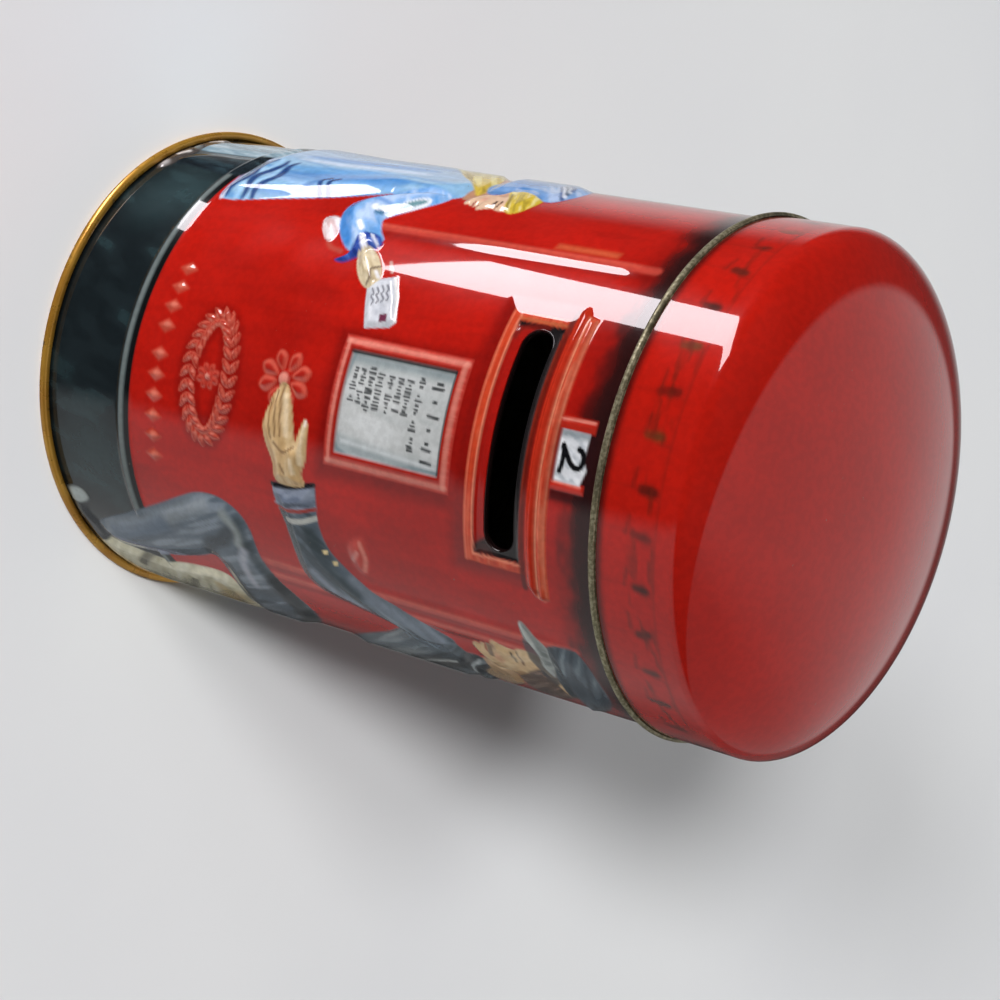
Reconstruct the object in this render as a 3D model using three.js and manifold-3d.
// A tin money box in the form of a round pillar letter box: a rolled and embossed
// tinplate wall, a base end seamed under it, and a domed slip-on lid.
// Millimetres, +Z up, origin at the middle of the resting face, coin slot towards -Y.
import * as THREE from "three";
import { mergeVertices } from "three/addons/utils/BufferGeometryUtils.js";
import Module from "manifold-3d";

const wasm = await Module();
wasm.setup();

// Driving dimensions
const BODY_RADIUS = 40; // outside of the plain wall
const SHEET = 0.3; // tinplate thickness
const FIT = 0.3; // running clearance between two pieces
const TOTAL_HEIGHT = 140;
const SIDES = 72; // facets round the tin
const BEAD_STEPS = 4; // facets across a small round edge
const CURVE_STEPS = 8; // facets along the dome and round the curl

// Base end
const RIM_RADIUS = 41.6; // outside of the seamed rim
const RIM_HEIGHT = 1.5;
const RIM_EDGE = 0.6; // how far the rim's rounded edge reaches inwards
const PANEL_HEIGHT = 3; // underside of the sunken panel

// Wall
const WALL_FOOT = SHEET + FIT; // stands in the base end's channel
const WALL_TOP = 126;
const PLINTH_BEAD = { height: 19, half: 1.1, proud: 0.5 };
const SLOT = { height: 96.6, length: 33.4, width: 5.4, flange: 1 };
const BACK_SEAM = { width: 4.5, thick: 0.5, foot: 6, top: 123 };

// Lid
const SKIRT_RADIUS = BODY_RADIUS + FIT + SHEET;
const SHOULDER = WALL_TOP;
const CURL = { height: 113.5, across: 0.6, tall: 0.75, turn: 280 };
const DOME_POWER = 1.8; // a superellipse, a little fuller than a cone and leaner than a ball

// Embossed panels, bars and frames on the wall: across is centred on the front line,
// measured along the curved sheet, and every one stands proud of the plain wall.
const SLOT_FRAME = { across: 0, height: 95.7, width: 38.6, tall: 10.6, bar: 1.7, proud: 0.7 };
const HOOD_LIP = { across: 0, height: 103.2, width: 44.4, tall: 3.4, proud: 1.3 };
const NOTICE_FRAME = { across: 0, height: 75.1, width: 20, tall: 24.2, bar: 2.2, proud: 0.8 };
const TABLET = { across: 0.3, height: 107.7, width: 9.4, tall: 5.4, proud: 0.5 };
const DOOR_EDGES = [
  { across: -30, height: 84.5, width: 1.6, tall: 49, proud: 0.5 },
  { across: 32, height: 76, width: 1.6, tall: 62, proud: 0.5 },
];

const redPrint = { color: 0xb81a10, roughness: 0.25, metalness: 0.15 };
const goldLacquer = { color: 0xb88a32, roughness: 0.3, metalness: 0.8 };

// Turns a closed three.js geometry into a manifold solid.
function solid(geometry) {
  geometry.deleteAttribute("normal");
  geometry.deleteAttribute("uv");
  const merged = mergeVertices(geometry, 1e-5);
  const vertProperties = new Float32Array(merged.attributes.position.array);
  const triVerts = new Uint32Array(merged.index.array);
  return new wasm.Manifold(new wasm.Mesh({ numProp: 3, vertProperties, triVerts }));
}

// Turns a manifold solid back into a three.js geometry.
function geometryOf(manifold) {
  const mesh = manifold.getMesh();
  const geometry = new THREE.BufferGeometry();
  geometry.setAttribute("position", new THREE.BufferAttribute(mesh.vertProperties, 3));
  geometry.setIndex(new THREE.BufferAttribute(mesh.triVerts, 1));
  geometry.computeVertexNormals();
  return geometry;
}

// A solid of revolution about Z from [radius, height] points.
function turned(points) {
  const profile = points.map(([radius, height]) => new THREE.Vector2(radius, height));
  const geometry = new THREE.LatheGeometry(profile, SIDES);
  geometry.rotateX(Math.PI / 2);
  return geometry;
}

// Points along an elliptical arc, angles in degrees.
function arc(centre, across, tall, from, to, steps) {
  return Array.from({ length: steps + 1 }, (_, i) => {
    const angle = THREE.MathUtils.degToRad(from + ((to - from) * i) / steps);
    return [centre[0] + across * Math.cos(angle), centre[1] + tall * Math.sin(angle)];
  });
}

// A block bent round the tin: across and height are its centre on the sheet, and it
// reaches from the radius inner to the radius outer.
function bentBlock({ across, height, width, tall }, inner, outer) {
  const facet = (2 * Math.PI * BODY_RADIUS) / SIDES;
  const geometry = new THREE.BoxGeometry(width, outer - inner, tall, Math.ceil(width / facet));
  const place = geometry.attributes.position;
  for (let i = 0; i < place.count; i += 1) {
    const angle = (across + place.getX(i)) / BODY_RADIUS;
    const radius = (inner + outer) / 2 - place.getY(i);
    place.setXYZ(i, radius * Math.sin(angle), -radius * Math.cos(angle), height + place.getZ(i));
  }
  return solid(geometry);
}

// An embossed block that stands proud of the wall.
function embossed(panel) {
  return bentBlock(panel, BODY_RADIUS - SHEET / 2, BODY_RADIUS + panel.proud);
}

// An embossed rectangular frame: a block less its middle.
function embossedFrame(frame) {
  const width = frame.width - 2 * frame.bar;
  const tall = frame.tall - 2 * frame.bar;
  const opening = { ...frame, width, tall };
  return embossed(frame).subtract(bentBlock(opening, BODY_RADIUS - SHEET, BODY_RADIUS + 2 * frame.proud));
}

// A bar with round ends, lying across the front and running back into the tin.
function slotBar(length, width) {
  const radius = width / 2;
  const run = length / 2 - radius;
  const outline = new THREE.Shape();
  outline.absarc(run, 0, radius, -Math.PI / 2, Math.PI / 2, false);
  outline.absarc(-run, 0, radius, Math.PI / 2, (3 * Math.PI) / 2, false);
  const cut = { depth: BODY_RADIUS / 2, bevelEnabled: false, curveSegments: CURVE_STEPS };
  const geometry = new THREE.ExtrudeGeometry(outline, cut);
  geometry.rotateX(Math.PI / 2);
  geometry.translate(0, cut.depth - BODY_RADIUS - HOOD_LIP.proud, SLOT.height);
  return solid(geometry);
}

// The rolled wall: a straight tube with a bead round it at the top of the plinth.
function wallTube() {
  const { height, half, proud } = PLINTH_BEAD;
  const bead = (radius) => arc([radius, height], proud, half, -90, 90, BEAD_STEPS);
  const outside = [[BODY_RADIUS, WALL_FOOT], ...bead(BODY_RADIUS), [BODY_RADIUS, WALL_TOP]];
  const inner = BODY_RADIUS - SHEET;
  const inside = [[inner, WALL_FOOT], ...bead(inner), [inner, WALL_TOP]].reverse();
  return solid(turned([...outside, ...inside, outside[0]]));
}

// The slot's edge, turned a little way into the tin.
function slotFlange() {
  const inner = BODY_RADIUS - SHEET - SLOT.flange;
  const outer = BODY_RADIUS - SHEET / 2;
  const foot = SLOT.height - SLOT.width;
  const top = SLOT.height + SLOT.width;
  const ring = solid(turned([[inner, foot], [outer, foot], [outer, top], [inner, top], [inner, foot]]));
  return ring.intersect(slotBar(SLOT.length + 2 * SHEET, SLOT.width + 2 * SHEET));
}

// The lock seam, folded down the inside of the back.
function backSeam() {
  const { width, thick, foot, top } = BACK_SEAM;
  const strip = { across: Math.PI * BODY_RADIUS, height: (foot + top) / 2, width, tall: top - foot };
  return bentBlock(strip, BODY_RADIUS - SHEET - thick, BODY_RADIUS - SHEET / 2);
}

function wallGeometry() {
  let wall = wallTube().add(slotFlange()).add(backSeam());
  wall = wall.add(embossedFrame(SLOT_FRAME)).add(embossedFrame(NOTICE_FRAME));
  for (const panel of [HOOD_LIP, TABLET, ...DOOR_EDGES]) {
    wall = wall.add(embossed(panel));
  }
  return geometryOf(wall.subtract(slotBar(SLOT.length, SLOT.width)));
}

// The base end: a sunken panel, a channel that holds the wall's foot, and the rolled rim.
function baseGeometry() {
  const legInside = BODY_RADIUS - 2 * SHEET - FIT;
  const legOutside = BODY_RADIUS - SHEET - FIT;
  const rimInside = BODY_RADIUS + FIT;
  const rimMiddle = RIM_RADIUS - RIM_EDGE;
  return turned([
    [0, PANEL_HEIGHT],
    [legInside - RIM_EDGE, PANEL_HEIGHT],
    [legInside, PANEL_HEIGHT - RIM_EDGE],
    [legInside, SHEET],
    [legOutside, 0],
    ...arc([rimMiddle, RIM_HEIGHT / 2], RIM_EDGE, RIM_HEIGHT / 2, -90, 90, BEAD_STEPS),
    [rimInside, RIM_HEIGHT],
    [rimInside, SHEET],
    [legOutside, SHEET],
    [legOutside, PANEL_HEIGHT - SHEET],
    [legOutside - RIM_EDGE, PANEL_HEIGHT + SHEET],
    [0, PANEL_HEIGHT + SHEET],
  ]);
}

// Points up one face of the dome, from its shoulder to the axis.
function domeArc(radius, rise) {
  return Array.from({ length: CURVE_STEPS + 1 }, (_, i) => {
    const angle = (Math.PI / 2) * (i / CURVE_STEPS);
    const across = radius * Math.cos(angle) ** (2 / DOME_POWER);
    const up = rise * Math.sin(angle) ** (2 / DOME_POWER);
    return [i === CURVE_STEPS ? 0 : across, SHOULDER + up];
  });
}

// The lid: a drawn dome and skirt, with the skirt's edge curled outwards round a hollow.
function lidGeometry() {
  const rise = TOTAL_HEIGHT - SHOULDER;
  const outer = domeArc(SKIRT_RADIUS, rise);
  const inner = domeArc(SKIRT_RADIUS - SHEET, rise - SHEET).reverse();
  const { height, across, tall, turn } = CURL;
  const centre = [SKIRT_RADIUS - SHEET + across, height];
  const curlOutside = arc(centre, across, tall, 180, 180 + turn, CURVE_STEPS);
  const curlInside = arc(centre, across - SHEET, tall - SHEET, 180 + turn, 180, CURVE_STEPS);
  return turned([...inner, ...curlOutside, ...curlInside, ...outer]);
}

function part(name, geometry, look) {
  const mesh = new THREE.Mesh(geometry, new THREE.MeshStandardMaterial(look));
  mesh.name = name;
  return mesh;
}

const group = new THREE.Group();
group.add(part("body_wall", wallGeometry(), redPrint));
group.add(part("base_end", baseGeometry(), goldLacquer));
group.add(part("lid", lidGeometry(), redPrint));

export default group;
